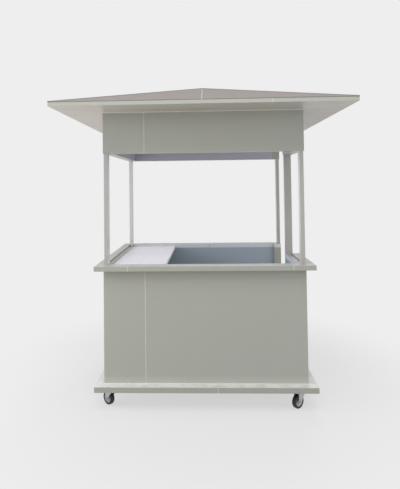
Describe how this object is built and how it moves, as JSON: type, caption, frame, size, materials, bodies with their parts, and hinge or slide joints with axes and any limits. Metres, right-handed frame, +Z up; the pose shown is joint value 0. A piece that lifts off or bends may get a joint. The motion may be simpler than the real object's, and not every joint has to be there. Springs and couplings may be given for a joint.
{
  "type": "mobile kiosk booth on casters",
  "caption": "Wheeled kiosk booth clad in composite sheet: open windows over an all-round ledge, side doorway, inner worktop, deep header band and low pyramid roof.",
  "frame": {"origin": "on the floor, under the middle of the roof", "axes": "+Z up, the long front with its ledge faces -Y, the side with the doorway faces +X"},
  "size_m": [2.12, 1.82, 2.484],
  "materials": {
    "panel": "semi-matt grey-green coil coating on composite sheet",
    "post": "satin light grey paint on steel tube",
    "slate": "semi-matt blue-grey coating on the inner face of composite sheet",
    "white_board": "white laminate",
    "soffit": "semi-matt warm light grey coating on composite sheet",
    "roof": "matt warm grey coating on composite sheet, dulled by dust",
    "floor": "grey sheet flooring on board",
    "frame_steel": "grey primer on steel tube",
    "zinc": "bright zinc plate",
    "tyre_rubber": "black solid rubber"
  },
  "bodies": {
    "booth": {"base_rails": "frame_steel", "cross_rails": "frame_steel", "floor_deck": "floor", "plinth_front": "panel", "plinth_rear": "panel", "plinth_left": "panel", "plinth_right": "panel", "corner_posts": "post", "door_post": "post", "door_jamb": "panel", "wall_front": "panel", "wall_rear": "panel", "wall_left": "panel", "wall_right": "panel", "lining_front": "slate", "lining_rear": "slate", "lining_left": "slate", "lining_right": "slate", "ledge_front": "panel", "ledge_rear": "panel", "ledge_left": "panel", "ledge_right": "panel", "worktop": "white_board", "header_front": "panel", "header_rear": "panel", "header_left": "panel", "header_right": "panel", "header_door": "panel", "header_corner": "panel", "header_linings": "slate", "header_side_linings": "slate", "ceiling": "soffit", "eave_front": "soffit", "eave_rear": "soffit", "eave_left": "soffit", "eave_right": "soffit", "roof_front": "roof", "roof_rear": "roof", "roof_left": "roof", "roof_right": "roof", "caster_plates": "zinc"},
    "caster_front_left": {"fork_front_left": "zinc"},
    "caster_wheel_front_left": {"wheel_front_left": "tyre_rubber"},
    "caster_front_right": {"fork_front_right": "zinc"},
    "caster_wheel_front_right": {"wheel_front_right": "tyre_rubber"},
    "caster_rear_left": {"fork_rear_left": "zinc"},
    "caster_wheel_rear_left": {"wheel_rear_left": "tyre_rubber"},
    "caster_rear_right": {"fork_rear_right": "zinc"},
    "caster_wheel_rear_right": {"wheel_rear_right": "tyre_rubber"}
  },
  "joints": [
    {"name": "swivel_front_left", "type": "hinge", "parent": "booth", "child": "caster_front_left", "pos_m": [-0.7, -0.565, 0.121], "axis": [0, 0, 1], "continuous": true},
    {"name": "spin_front_left", "type": "hinge", "parent": "caster_front_left", "child": "caster_wheel_front_left", "pos_m": [-0.72911, -0.54057, 0.05], "axis": [-0.6428, -0.766, 0], "continuous": true},
    {"name": "swivel_front_right", "type": "hinge", "parent": "booth", "child": "caster_front_right", "pos_m": [0.7, -0.565, 0.121], "axis": [0, 0, 1], "continuous": true},
    {"name": "spin_front_right", "type": "hinge", "parent": "caster_front_right", "child": "caster_wheel_front_right", "pos_m": [0.67089, -0.58943, 0.05], "axis": [0.6428, -0.766, 0], "continuous": true},
    {"name": "swivel_rear_left", "type": "hinge", "parent": "booth", "child": "caster_rear_left", "pos_m": [-0.7, 0.565, 0.121], "axis": [0, 0, 1], "continuous": true},
    {"name": "spin_rear_left", "type": "hinge", "parent": "caster_rear_left", "child": "caster_wheel_rear_left", "pos_m": [-0.73571, 0.578, 0.05], "axis": [-0.342, -0.9397, 0], "continuous": true},
    {"name": "swivel_rear_right", "type": "hinge", "parent": "booth", "child": "caster_rear_right", "pos_m": [0.7, 0.565, 0.121], "axis": [0, 0, 1], "continuous": true},
    {"name": "spin_rear_right", "type": "hinge", "parent": "caster_rear_right", "child": "caster_wheel_rear_right", "pos_m": [0.66429, 0.552, 0.05], "axis": [0.342, -0.9397, 0], "continuous": true}
  ]
}
